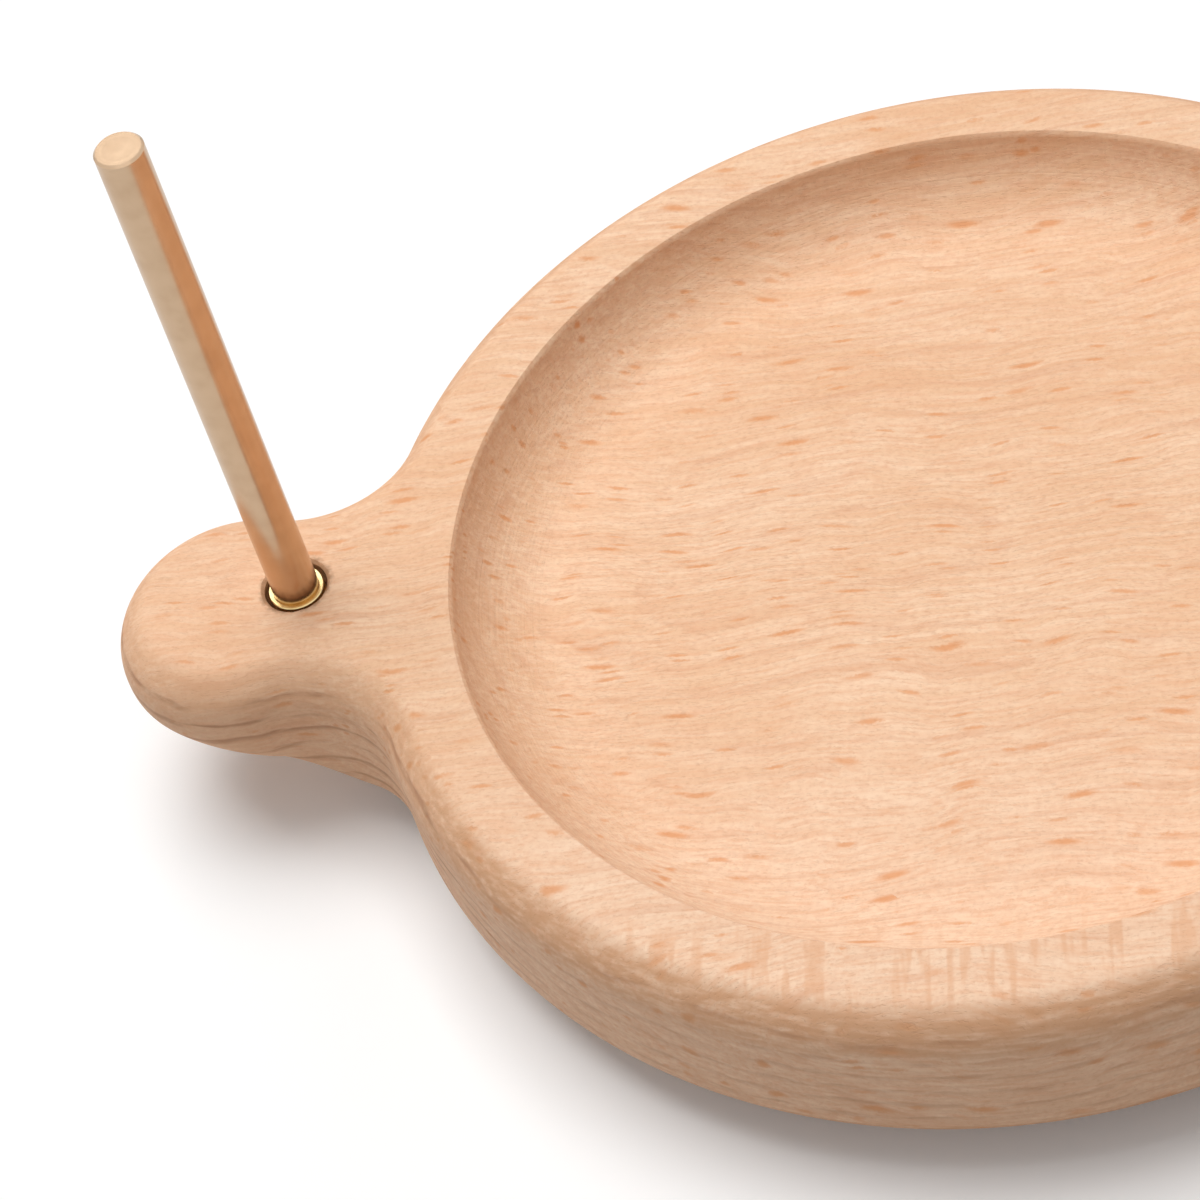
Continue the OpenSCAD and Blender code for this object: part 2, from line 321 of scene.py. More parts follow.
# On the thumb the lower edge climbs with the slope, and the upper one stays where it is
rise = add(t, "GeometryNodeInputNamedAttribute", {"Name": "rise"}, data_type="FLOAT").outputs[0]
height = add(t, "ShaderNodeSeparateXYZ", {0: add(t, "GeometryNodeInputPosition").outputs[0]}).outputs[2]
wall_height = m("SUBTRACT", shoulder, m("ADD", low, edge))
share = maths(t, "DIVIDE", m("SUBTRACT", shoulder, height), wall_height, use_clamp=True)
outer_edge = add(t, "GeometryNodeSetPosition", {
    "Geometry": outer_edge, "Offset": vector(t, z=m("MULTIPLY", rise, share))}).outputs[0]
inset = add(t, "GeometryNodeSetPosition", {
    "Geometry": path,
    "Offset": add(t, "ShaderNodeVectorMath",
                  {0: add(t, "GeometryNodeInputNormal").outputs["Normal"], "Scale": band_in},
                  operation="SCALE").outputs[0]}).outputs[0]

# %% [markdown]
# ## The thumb's underside
# The slope under the thumb is the one face that is neither flat nor turned. It is laid in
# rows across the thumb, from one side of the inset outline to the other. Both ends of a
# row lie at one height, so the slope curves along the thumb and stays level across it.

# %% The thumb's underside
climbed = add(t, "GeometryNodeSetPosition", {
    "Geometry": inset, "Offset": vector(t, z=m("ADD", rise, low))}).outputs[0]
rows = add(t, "GeometryNodeMeshGrid", {
    "Vertices X": take["Thumb Rows"], "Vertices Y": 2, "Size X": 1.0, "Size Y": 1.0}).outputs[0]
number = add(t, "GeometryNodeInputIndex").outputs[0]
row, column = m("FLOOR", m("DIVIDE", number, 2.0)), m("MODULO", number, 2.0)
points_round = add(t, "GeometryNodeAttributeDomainSize", {"Geometry": inset},
                   component="CURVE").outputs["Point Count"]
across = m("MODULO", m("SUBTRACT", points_round, row), points_round)
place = m("ADD", m("MULTIPLY", row, m("SUBTRACT", 1.0, column)), m("MULTIPLY", across, column))
corner = add(t, "GeometryNodeSampleIndex", {
    "Geometry": climbed, "Value": add(t, "GeometryNodeInputPosition").outputs[0], "Index": place},
    data_type="FLOAT_VECTOR", domain="POINT").outputs[0]
thumb_under = add(t, "GeometryNodeSetPosition", {"Geometry": rows, "Position": corner}).outputs[0]
plate_inset = add(t, "GeometryNodeDeleteGeometry", {
    "Geometry": inset, "Selection": m("GREATER_THAN", rise, 0.0)}, domain="POINT").outputs[0]

# %% The dish
dish_r, depth, wall, ease = (take[n] for n in ("Dish Radius", "Dish Depth", "Wall Radius", "Rim Ease"))


def wall_run(climb):
    """How far the wall has run outwards when it has climbed this much."""
    left = m("SUBTRACT", wall, climb)
    return m("SQRT", m("SUBTRACT", m("MULTIPLY", wall, wall), m("MULTIPLY", left, left)))


ease_rise = m("SUBTRACT", depth, ease)
floor_in = m("MULTIPLY", wall_run(depth), -1.0)      # outwards from the dish's edge, as in each profile
ease_in = m("ADD", floor_in, wall_run(ease_rise))
wall_sweep = m("ARCCOSINE", m("DIVIDE", m("SUBTRACT", wall, ease_rise), wall))
floor_z = m("SUBTRACT", high, depth)
lip = m("ADD", ease_in, ease)
dish_profile = [
    line(t, (m("ADD", lip, BAND), high), (lip, high)),
    line(t, (lip, high), (ease_in, m("SUBTRACT", high, ease))),
    bend(t, floor_in, m("ADD", floor_z, wall), wall, m("SUBTRACT", QUARTER, wall_sweep), wall_sweep,
         WALL_STEPS),
    line(t, (floor_in, floor_z), (m("SUBTRACT", floor_in, BAND), floor_z)),
    line(t, (m("SUBTRACT", floor_in, BAND), floor_z), (m("MULTIPLY", dish_r, -1.0), floor_z), 6),
]
dish = sweep(t, circle(t, dish_r), dish_profile)
dish_mouth = circle(t, m("ADD", dish_r, m("ADD", lip, BAND)))

# %% The rod's hole, with a torn edge
TEAR_SCALE = 900.0                          # tears in a metre of edge
hole_x, hole_r, torn = take["Rod Hole Place"], take["Rod Hole Radius"], take["Torn Edge"]
hole_low = m("SUBTRACT", high, take["Rod Hole Depth"])
mouth = m("MULTIPLY", torn, 2.0)
hole_profile = [
    line(t, (mouth, high), (torn, high)),
    line(t, (torn, high), (0.0, m("SUBTRACT", high, torn)), 2),
    line(t, (0.0, m("SUBTRACT", high, torn)), (0.0, hole_low)),
    line(t, (0.0, hole_low), (m("MULTIPLY", hole_r, -1.0), hole_low)),
]
hole = sweep(t, circle(t, hole_r, SMALL_AROUND), hole_profile)
spot = add(t, "GeometryNodeInputPosition").outputs[0]
x, y, z = add(t, "ShaderNodeSeparateXYZ", {0: spot}).outputs
outwards = add(t, "ShaderNodeVectorMath", {0: vector(t, x, y)}, operation="NORMALIZE").outputs[0]
distance = add(t, "ShaderNodeVectorMath", {0: vector(t, x, y)}, operation="LENGTH").outputs["Value"]
tear = add(t, "ShaderNodeTexNoise", {"Vector": spot, "Scale": TEAR_SCALE, "Detail": 3.0}).outputs["Fac"]
on_edge = m("MULTIPLY", m("GREATER_THAN", z, m("SUBTRACT", high, m("MULTIPLY", torn, 0.9))),
            m("LESS_THAN", distance, m("ADD", hole_r, m("MULTIPLY", torn, 1.5))))
pull = m("MULTIPLY", m("MULTIPLY", m("SUBTRACT", tear, 0.5), torn), on_edge)
hole = add(t, "GeometryNodeSetPosition", {
    "Geometry": hole,
    "Offset": add(t, "ShaderNodeVectorMath", {0: outwards, "Scale": pull}, operation="SCALE").outputs[0],
}).outputs[0]
hole = move(t, hole, x=hole_x)
hole_mouth = move(t, circle(t, m("ADD", hole_r, mouth), SMALL_AROUND), x=hole_x)

# %% The pocket and its screw holes
pocket_r, screw_r = take["Pocket Radius"], take["Screw Hole Radius"]
ceiling = m("ADD", low, take["Pocket Depth"])
pocket_profile = [
    line(t, (POCKET_EDGE + BAND, low), (POCKET_EDGE, low)),
    line(t, (POCKET_EDGE, low), (0.0, m("ADD", low, POCKET_EDGE))),
    line(t, (0.0, m("ADD", low, POCKET_EDGE)), (0.0, ceiling), 2),
    line(t, (0.0, ceiling), (-BAND, ceiling)),
]
pocket = sweep(t, circle(t, pocket_r), pocket_profile)
pocket_mouth = circle(t, m("ADD", pocket_r, POCKET_EDGE + BAND))
screw_places = add(t, "GeometryNodeTransform", {
    "Geometry": circle(t, take["Screw Circle"], 4), "Rotation": (0.0, 0.0, QUARTER / 2)}).outputs[0]
screw_top = m("ADD", ceiling, take["Screw Hole Depth"])
cone_low = m("SUBTRACT", screw_top, DRILL_POINT)
screw_mouth = circle(t, screw_r, SCREW_AROUND)
drilled = sweep(t, screw_mouth, [
    line(t, (0.0, ceiling), (0.0, cone_low)),
    line(t, (0.0, cone_low), (m("MULTIPLY", screw_r, -1.0), screw_top))])


def at_screws(piece):
    return add(t, "GeometryNodeInstanceOnPoints", {"Points": screw_places, "Instance": piece}).outputs[0]


# %% The flat faces, and the whole board


def flat(loops, height):
    """A flat face between an outer loop and the loops inside it."""
    real = add(t, "GeometryNodeRealizeInstances", {0: join(t, loops)}).outputs[0]
    filled = add(t, "GeometryNodeFillCurve", {"Curve": real}, mode="TRIANGLES").outputs[0]
    return move(t, filled, z=height)


finish_tree(t, [
    outer_edge, thumb_under, dish, hole, pocket, at_screws(drilled),
    flat([inset, dish_mouth, hole_mouth], high),
    flat([plate_inset, pocket_mouth], low),
    flat([circle(t, m("SUBTRACT", pocket_r, BAND)), at_screws(screw_mouth)], ceiling),
], take["Wood"], give[0])

# %% Make the board
loop = bpy.data.meshes.new("board_outline")
count = len(board_outline)
loop.from_pydata([(x, y, 0.0) for x, y in board_outline], [(i, (i + 1) % count) for i in range(count)], [])
loop.attributes.new("rise", "FLOAT", "POINT").data.foreach_set("value", board_rise)
beech = bpy.data.materials.new("beech, sanded and left bare")
build(board_tree, loop, "dished_board", "plate", "beech", "base_plate", 35, **{
    "Thumb Rows": thumb_rows, "Edge Radius": EDGE_R, "Top Edge Radius": TOP_EDGE_R, "Crease": CREASE,
    "Underside": underside, "Top": top, "Dish Radius": DISH_R, "Dish Depth": DISH_DEPTH,
    "Wall Radius": WALL_R, "Rim Ease": RIM_EASE, "Pocket Radius": POCKET_R,
    "Pocket Depth": POCKET_DEPTH, "Screw Circle": SCREW_CIRCLE, "Screw Hole Radius": SCREW_HOLE_R,
    "Screw Hole Depth": SCREW_HOLE_DEPTH, "Rod Hole Place": rod_x, "Rod Hole Radius": ROD_HOLE_R,
    "Rod Hole Depth": ROD_HOLE_DEPTH, "Torn Edge": TORN_EDGE, "Wood": beech})

# %% [markdown]
# ## Threads
# The rod screws into a brass insert, and the insert screws into the wood, so two threads
# are needed. A thread is a ridge that climbs round a core, which is a rule, so one node
# tree makes both: a turned core, and a ridge swept along a spiral with its ends capped.
#
# One fault is left in this tree. Along the spiral a profile's X points inwards, the other
# way than along a circle, so the ridge is laid inside the core. It stands out by no more
# than 0.03 mm, and both turnings look plain. A ridge turned and moved the other way in
# its Transform node would stand proud.

# %% The tree for a threaded turning
TURN_STEPS = 48                             # points along one turn of a thread
FOOT_SHARE, CREST_SHARE = 0.8, 0.12         # a ridge's width at its foot and crest, in pitches
SUNK = 0.45                                 # where its middle is moved to, in ridge heights
thread_tree, take, give = new_tree(
    "threaded turning", "GeometryNodeTree",
    [("Base", "Geometry", None)]
    + [(size, "Float", None) for size in (
        "Place", "Core Radius", "Core Low", "Bore Radius", "Crest", "Pitch", "Thread Low", "Thread High",
        "Body Radius", "Body Low", "Body High", "Bevel")]
    + [("Metal", "Material", None)],
    [("Turning", "Geometry", None)])
t = thread_tree


def m(operation, *values):
    return maths(thread_tree, operation, *values)


def turned(points):
    """A turned wall through (radius, height) points, welded later to what it meets."""
    path_r = take["Body Radius"]
    spots = [(m("SUBTRACT", radius, path_r), height) for radius, height in points]
    return sweep(t, circle(t, path_r, SMALL_AROUND), [line(t, a, b) for a, b in zip(spots, spots[1:])])


core, bore, body, bevel = (take[n] for n in ("Core Radius", "Bore Radius", "Body Radius", "Bevel"))
core_low, low, high = take["Core Low"], take["Body Low"], take["Body High"]
shape = turned([
    (bore, high), (bore, core_low), (core, core_low), (core, low), (m("SUBTRACT", body, bevel), low),
    (body, m("ADD", low, bevel)), (body, m("SUBTRACT", high, bevel)), (m("SUBTRACT", body, bevel), high),
    (bore, high)])
span = m("SUBTRACT", take["Thread High"], take["Thread Low"])
spiral = add(t, "GeometryNodeCurveSpiral", {
    "Resolution": TURN_STEPS, "Rotations": m("DIVIDE", span, take["Pitch"]),
    "Start Radius": core, "End Radius": core, "Height": span}).outputs[0]
crest = m("SUBTRACT", take["Crest"], core)
ridge = add(t, "GeometryNodeCurvePrimitiveQuadrilateral", {
    "Bottom Width": m("MULTIPLY", take["Pitch"], FOOT_SHARE),
    "Top Width": m("MULTIPLY", take["Pitch"], CREST_SHARE),
    "Height": crest, "Offset": 0.0}, mode="TRAPEZOID").outputs[0]
ridge = add(t, "GeometryNodeTransform", {
    "Geometry": ridge, "Rotation": (0.0, 0.0, -QUARTER),
    "Translation": vector(t, m("MULTIPLY", crest, SUNK))}).outputs[0]
climb = add(t, "GeometryNodeCurveToMesh", {
    "Curve": level_path(t, spiral), "Profile Curve": ridge, "Fill Caps": True}).outputs["Mesh"]
finish_tree(t, [move(t, shape, x=take["Place"]),
                move(t, climb, x=take["Place"], z=take["Thread Low"])], take["Metal"], give[0])

# %% [markdown]
# ## The rod and its insert
# The rod is a plain bar of brass, turned down at its foot for an M5 thread and faced off
# square at the top with its edge just broken. The insert is a tube with a plain bore. It
# is a little narrower than its hole, and the gap round its rim shows as a dark ring beside
# the bright metal.

# %% Make the rod and the insert
brass = bpy.data.materials.new("brass, drawn and turned")
insert_brass = bpy.data.materials.new("brass, cut thread")
nothing = bpy.data.meshes.new("blank")
STUD, STUD_PLAIN = 8.4 * MM, 0.5 * MM       # the rod's foot, and the plain part at each of its ends
COLLAR, COLLAR_GAP = 0.5 * MM, 0.25 * MM    # the insert's plain rim, and the space below it
build(thread_tree, nothing, "brass_rod", "rod", "rod_brass", "yarn_rod", 30, **{
    "Place": rod_x, "Core Radius": 2.05 * MM, "Core Low": insert_high.z - STUD, "Bore Radius": 0.0,
    "Crest": 2.44 * MM, "Pitch": 0.8 * MM, "Thread Low": insert_high.z - STUD + STUD_PLAIN,
    "Thread High": insert_high.z - STUD_PLAIN, "Body Radius": rod_r, "Body Low": insert_high.z,
    "Body High": rod_high.z, "Bevel": 0.3 * MM, "Metal": brass})
build(thread_tree, nothing.copy(), "wood_thread_insert", "plate", "insert_brass", "threaded_insert", 30, **{
    "Place": rod_x, "Core Radius": 3.5 * MM, "Core Low": insert_low.z, "Bore Radius": 2.5 * MM,
    "Crest": 4.08 * MM, "Pitch": 1.8 * MM, "Thread Low": insert_low.z + 0.8 * MM,
    "Thread High": insert_high.z - COLLAR - COLLAR_GAP, "Body Radius": 3.6 * MM,
    "Body Low": insert_high.z - COLLAR, "Body High": insert_high.z, "Bevel": 0.12 * MM,
    "Metal": insert_brass})

# %% [markdown]
# # Finishes
# Every finish reads Object coordinates, which are the same metres as the sizes, so a
# pattern is solid: it runs through the piece, and each cut shows it at its own angle.

# %% Shader helpers


def finish_of(name_or_material):
    """A material's tree, its one Principled shader, and its Object coordinates in millimetres."""
    made = name_or_material
    if isinstance(made, str):
        made = bpy.data.materials.new(made)
    made.use_nodes = True
    tree = made.node_tree
    shader = next(n for n in tree.nodes if n.type == "BSDF_PRINCIPLED")
    spot = add(tree, "ShaderNodeTexCoord").outputs["Object"]
    spot = add(tree, "ShaderNodeVectorMath", {0: spot, "Scale": 1000.0}, operation="SCALE").outputs[0]
    return made, tree, shader, spot


def blend(tree, share, a, b):
    """A colour between a and b. A colour written out has three numbers, linear."""
    colours = [c if isinstance(c, bpy.types.NodeSocket) else (*c, 1.0) for c in (a, b)]
    mixed = add(tree, "ShaderNodeMix", {0: share, 6: colours[0], 7: colours[1]}, data_type="RGBA")
    return mixed.outputs[2]


def ramp(tree, value, start, stop, low=0.0, high=1.0):
    """Smoothly from low to high as the value goes from start to stop."""
    made = add(tree, "ShaderNodeMapRange", {0: value, 1: start, 2: stop, 3: low, 4: high},
               interpolation_type="SMOOTHSTEP")
    return made.outputs[0]


def scaled(tree, place, x, y, z):
    """A place with each direction multiplied."""
    return add(tree, "ShaderNodeVectorMath", {0: place, 1: (x, y, z)}, operation="MULTIPLY").outputs[0]


def noise(tree, place, scale=1.0, detail=2.0, output="Fac"):
    return add(tree, "ShaderNodeTexNoise", {"Vector": place, "Scale": scale, "Detail": detail}).outputs[output]


def bump(tree, shader, height, distance):
    """Relief on the shading: a height of 1 stands this many metres proud."""
    made = add(tree, "ShaderNodeBump", {"Height": height, "Distance": distance, "Strength": 1.0})
    tree.links.new(made.outputs[0], shader.inputs["Normal"])


# %% [markdown]
# ## Beech
# Beech is pale and even, and three things tell it from other woods. Growth rings are faint
# and widely spaced where the board is cut along them, and close where it is cut across.
# Rays show as short orange dashes on the face, and as bars across the grain near an edge
# that is cut straight at the heart. Fibres give it a fine long streak. All three follow the
# tree that the board came from, so the pattern is built around a pith line under the plate:
# each point is turned into how far along, how far round and how far out of the log it lies.

# %% The beech pattern
PITH = (0.0, 4.0, -16.0)                    # a point on the heart of the log, in millimetres
ROUND_AT = 52.0                             # a turn counts as its length this far from the heart
DRIFT, FRAY = 3.0, 0.5                      # how far the marks wander, and how ragged their edges are
FLECK_DEPTH = 0.33                          # flecks in a millimetre outwards from the heart
grain_tree, take, give = new_tree(
    "beech grain", "ShaderNodeTree",
    [("Place", "Vector", None), ("Ring Spacing", "Float", 2.7), ("Fleck Length", "Float", 11.5),
     ("Fleck Width", "Float", 2.45), ("Wander", "Float", 7.0)],
    [("Rings", "Float", None), ("Flecks", "Float", None), ("Fibres", "Float", None),
     ("Streaks", "Float", None), ("Pores", "Float", None), ("Blush", "Float", None)])
g = grain_tree


def gm(operation, *values):
    """Maths in the grain's tree."""
    return maths(grain_tree, operation, *values)


def vm(operation, **inputs):
    """Vector maths in the grain's tree."""
    keys = {"a": 0, "b": 1, "scale": "Scale"}
    return add(grain_tree, "ShaderNodeVectorMath", {keys[k]: v for k, v in inputs.items()},
               operation=operation).outputs[0]


# Each point is bent a little, because no trunk is straight, and then measured from the heart
sway = vm("SUBTRACT", a=noise(g, take["Place"], 0.034, 1.5, "Color"), b=(0.5, 0.5, 0.5))
sway = scaled(g, vm("SCALE", a=sway, scale=take["Wander"]), 0.0, 1.0, 1.0)
from_pith = vm("SUBTRACT", a=vm("ADD", a=take["Place"], b=sway), b=PITH)
along, across, up = add(g, "ShaderNodeSeparateXYZ", {0: from_pith}).outputs
out = gm("SQRT", gm("ADD", gm("MULTIPLY", across, across), gm("MULTIPLY", up, up)))
around = gm("MULTIPLY", gm("ARCTAN2", up, across), ROUND_AT)
drift = gm("MULTIPLY", gm("SUBTRACT", noise(g, take["Place"], 0.11, 1.0), 0.5), DRIFT)
fray = gm("MULTIPLY", gm("SUBTRACT", noise(g, take["Place"], 2.2, 2.0), 0.5), FRAY)
log = vector(g, gm("ADD", along, fray), gm("ADD", around, gm("ADD", drift, fray)), out)

# Growth rings: each darkens slowly towards its late wood and ends sharply
uneven = noise(g, scaled(g, log, 0.004, 0.008, 0.09), 1.0, 2.0)
ring = gm("FRACT", gm("ADD", gm("DIVIDE", out, take["Ring Spacing"]), gm("MULTIPLY", uneven, 3.0)))
late_wood = gm("MULTIPLY", ramp(g, ring, 0.45, 0.93), ramp(g, ring, 0.93, 1.0, 1.0, 0.0))
weight = ramp(g, noise(g, scaled(g, log, 0.045, 0.35, 0.5), 1.0, 3.0), 0.42, 0.66)
g.links.new(gm("MULTIPLY", late_wood, weight), give["Rings"])


def dashes(size, seed, width):
    """Ray flecks: drawn-out cells, long with the grain, thin round the log, deep outwards."""
    length = gm("DIVIDE", 1.0, gm("MULTIPLY", take["Fleck Length"], size))
    thin = gm("DIVIDE", 1.0, gm("MULTIPLY", take["Fleck Width"], size))
    cell = vm("ADD", a=vm("MULTIPLY", a=log, b=vector(g, length, thin, FLECK_DEPTH / size)), b=(seed,) * 3)
    cells = add(g, "ShaderNodeTexVoronoi", {"Vector": cell, "Scale": 1.0}, feature="F1")
    mark = ramp(g, cells.outputs["Distance"], width, width * 0.25)
    chance = add(g, "ShaderNodeSeparateColor", {0: cells.outputs["Color"]}).outputs[0]
    return gm("MULTIPLY", mark, ramp(g, chance, 0.3, 0.62))


fleck = gm("MAXIMUM", dashes(1.0, 0.0, 0.27), gm("MULTIPLY", dashes(0.6, 7.3, 0.30), 0.85))
g.links.new(fleck, give["Flecks"])

# The rest is noise, drawn out along the log: fibres, broad streaks, and fine pores
g.links.new(noise(g, scaled(g, log, 0.16, 2.2, 2.2), 1.0, 3.0), give["Fibres"])
g.links.new(ramp(g, noise(g, scaled(g, log, 0.05, 0.8, 0.8), 1.0, 3.0), 0.36, 0.64), give["Streaks"])
g.links.new(ramp(g, noise(g, scaled(g, log, 1.1, 5.5, 5.5), 1.0, 1.0), 0.56, 0.72), give["Pores"])
g.links.new(noise(g, scaled(g, take["Place"], 0.025, 0.05, 0.05), 1.0, 3.0), give["Blush"])
print("beech grain:", len(grain_tree.nodes), "nodes")

# %% [markdown]
# ## The board's colour
# The face is painted in thin coats, as a finisher builds up a tone: two pale tones by the
# broad streaks, a paler and creamier near side that is painted light, then fibres, rings
# and pores, and nearly last the orange ray flecks. Each coat is one colour and one share between 0 and 1.

# %% The face of the board
# Painted light: the near side of the face is painted paler and creamier, as if more light from behind fell on
# it.
NEAR_SIDE_PAINTED_LIGHT = (-12.0, -58.0)                 # across the board, in millimetres: from none to full
HEART_END = (-72.0, -92.0)                  # the same, along the thumb
PALE, TAN, PAINTED_LIGHT_CREAM, ROSE = (0.98, 0.69, 0.475), (0.87, 0.53, 0.315), (0.985, 0.73, 0.545), (0.86, 0.48, 0.285)
RING_RED, PORE_BROWN = (0.70, 0.34, 0.19), (0.62, 0.34, 0.20)
FLECK_ORANGE, HEART = (0.77, 0.31, 0.115), (0.74, 0.40, 0.235)
_, tree, shader, spot = finish_of(beech)
grain = add(tree, "ShaderNodeGroup", {"Place": spot}, node_tree=grain_tree)
rings, flecks, fibres, streaks, pores, blush = grain.outputs
lengthwise, crosswise, height_up = add(tree, "ShaderNodeSeparateXYZ", {0: spot}).outputs


def wm(operation, *values):
    """Maths in the beech's own tree."""
    return maths(beech.node_tree, operation, *values)


tone = wm("ADD", wm("MULTIPLY", ramp(tree, blush, 0.3, 0.7), 0.5), wm("MULTIPLY", streaks, 0.5))
colour = blend(tree, tone, PALE, TAN)
for share, paint in (
        # painted light: paler and creamier towards the near side
        (ramp(tree, crosswise, *NEAR_SIDE_PAINTED_LIGHT, 0.0, 0.5), PAINTED_LIGHT_CREAM),
        (ramp(tree, fibres, 0.38, 0.72, 0.0, 0.6), ROSE),
        (wm("MULTIPLY", rings, 0.30), RING_RED),
        (wm("MULTIPLY", pores, 0.22), PORE_BROWN),
        (ramp(tree, noise(tree, spot, 1.3, 3.0), 0.35, 0.75, 0.0, 0.22), RING_RED),
        (wm("MULTIPLY", flecks, 0.74), FLECK_ORANGE),
        (ramp(tree, lengthwise, *HEART_END, 0.0, 0.14), HEART)):
    colour = blend(tree, share, colour, paint)
print("face:", len(tree.nodes), "nodes")

# %% [markdown]
# ## The board's sides
# The rounded edges are painted a warm brown in patches. This is painted shade, where the
# edges turn away from the light. On the upright sides the cut crosses the growth layers,
# and they show as thin dark lines that run level and waver a little.
# Near the long edge the rays lie flat and show as bars across the grain. How steep a face
# is tells the finish where it is, so one material serves the face and the sides.

# %% The sides, their painted shade, the bars of the rays and the darker ring round the hole
JUST_OUTSIDE = (66.0, 68.0)                 # distances from the axis, in millimetres: past the dish's edge
THUMB_LESS_SHADE, LAYERED_THUMB = (-58.0, -78.0), (-52.0, -68.0)     # along the thumb
RAY_SIDE = (-52.0, -64.0)                   # across the board
LAYER, LAYER_WAVER = 2.8, 1.6               # spacing in millimetres, and wavering in spacings
HOLE_RING_REACH, NEAR_TOP = (5.9, 4.9), (25.5, 27.5)      # distances from the rod, and heights
EDGE_SHADE_BROWN, RAY_BAR, LAYER_BROWN, HOLE_RING_BROWN = (
    (0.66, 0.345, 0.18), (0.80, 0.43, 0.24), (0.50, 0.235, 0.125), (0.34, 0.19, 0.105))
normal = add(tree, "ShaderNodeNewGeometry").outputs["Normal"]
facing_up = add(tree, "ShaderNodeSeparateXYZ", {0: normal}).outputs[2]
steep = wm("SUBTRACT", 1.0, wm("ABSOLUTE", facing_up))
flat_spot = scaled(tree, spot, 1.0, 1.0, 0.0)
reach = add(tree, "ShaderNodeVectorMath", {0: flat_spot}, operation="LENGTH").outputs["Value"]
outside = ramp(tree, reach, *JUST_OUTSIDE)

# Painted shade: a warm brown on the rounded edges, strongest part way down them, in ragged patches and weaker
# on the thumb.
rounded_edge_shade = wm("MULTIPLY", ramp(tree, steep, 0.06, 0.22), ramp(tree, steep, 0.55, 0.98, 1.0, 0.45))
ragged = noise(tree, scaled(tree, spot, 0.18, 0.5, 1.4), 1.0, 4.0)
rounded_edge_shade = wm("MULTIPLY", rounded_edge_shade, ramp(tree, ragged, 0.30, 0.62, 0.25, 0.80))
rounded_edge_shade = wm("MULTIPLY", rounded_edge_shade, ramp(tree, lengthwise, *THUMB_LESS_SHADE, 1.0, 0.28))
colour = blend(tree, wm("MULTIPLY", rounded_edge_shade, outside), colour, EDGE_SHADE_BROWN)

bars = ramp(tree, noise(tree, scaled(tree, spot, 0.55, 0.07, 0.07), 1.0, 2.0), 0.50, 0.66)
bars = wm("MULTIPLY", wm("MULTIPLY", bars, ramp(tree, crosswise, *RAY_SIDE)),
          ramp(tree, steep, 0.25, 0.05, 0.0, 0.6))
colour = blend(tree, bars, colour, RAY_BAR)

waver = wm("MULTIPLY", noise(tree, spot, 0.06, 3.0), LAYER_WAVER)
layer = wm("FRACT", wm("ADD", wm("DIVIDE", height_up, LAYER), waver))
layer = wm("MULTIPLY", ramp(tree, layer, 0.50, 0.86), ramp(tree, layer, 0.86, 1.0, 1.0, 0.0))
broken = noise(tree, scaled(tree, spot, 0.14, 0.14, 0.9), 1.0, 3.0)
layer = wm("MULTIPLY", layer, ramp(tree, broken, 0.38, 0.62))
layer = wm("MULTIPLY", wm("MULTIPLY", layer, ramp(tree, steep, 0.12, 0.4)),
           wm("MULTIPLY", outside, ramp(tree, lengthwise, *LAYERED_THUMB, 0.35, 0.75)))
colour = blend(tree, layer, colour, LAYER_BROWN)

ROD_AXIS = (rod_x / MM, 0.0, 0.0)
from_rod = add(tree, "ShaderNodeVectorMath", {0: flat_spot, 1: ROD_AXIS},
               operation="DISTANCE").outputs["Value"]
# Darker towards the mouth of the rod's hole, in a ragged ring near the top face.
from_rod = wm("ADD", from_rod, wm("MULTIPLY", noise(tree, spot, 1.1, 3.0), 1.6))
darker_hole_ring = wm("MULTIPLY", ramp(tree, from_rod, *HOLE_RING_REACH, 0.0, 0.75), ramp(tree, height_up, *NEAR_TOP))
colour = blend(tree, darker_hole_ring, colour, HOLE_RING_BROWN)
tree.links.new(colour, shader.inputs["Base Color"])
shader.inputs["Roughness"].default_value = 0.62
shader.inputs["Specular IOR Level"].default_value = 0.28
print("face and sides:", len(tree.nodes), "nodes")

# %% The relief, with faint turned lines on the dish's wall
WALL_FROM, WALL_TO, WALL_UP = (52.5, 56.5), (65.3, 65.0), (28.4, 28.0)     # millimetres
on_wall = wm("MULTIPLY", ramp(tree, reach, *WALL_FROM),
             wm("MULTIPLY", ramp(tree, reach, *WALL_TO), ramp(tree, height_up, *WALL_UP)))
turned_lines = noise(tree, vector(tree, reach, height_up), 2.4, 2.0)
relief = wm("ADD", wm("MULTIPLY", turned_lines, on_wall), wm("MULTIPLY", fibres, 0.5))
for sunk, share in ((flecks, 0.45), (pores, 0.35), (layer, 0.8)):
    relief = wm("SUBTRACT", relief, wm("MULTIPLY", sunk, share))
bump(tree, shader, relief, 0.07 * MM)
print("beech:", len(tree.nodes), "nodes and a grain of", len(grain_tree.nodes))

# %% [markdown]
# ## Metals, nylon and rubber
# Turned and drawn metals share one thing: very fine lines that run round the piece, which
# stretch each reflection. One node group makes those lines and a few faint smudges for all
# of them. The brass rod is a dull gold that takes most of its colour from what it reflects.

# %% Tool lines, shared by the metals
lines_tree, take, give = new_tree(
    "tool lines", "ShaderNodeTree",
    [("Place", "Vector", None), ("Round", "Float", 3.0), ("Up", "Float", 3.0)],
    [("Lines", "Float", None), ("Smudge", "Float", None)])
g = lines_tree
z = add(g, "ShaderNodeSeparateXYZ", {0: take["Place"]}).outputs[2]
radius = add(g, "ShaderNodeVectorMath", {0: scaled(g, take["Place"], 1.0, 1.0, 0.0)},
             operation="LENGTH").outputs["Value"]
cut = vector(g, maths(g, "MULTIPLY", radius, take["Round"]), maths(g, "MULTIPLY", z, take["Up"]), 0.0)
g.links.new(noise(g, cut, 1.0, 3.0), give["Lines"])
g.links.new(noise(g, take["Place"], 0.35, 3.0), give["Smudge"])


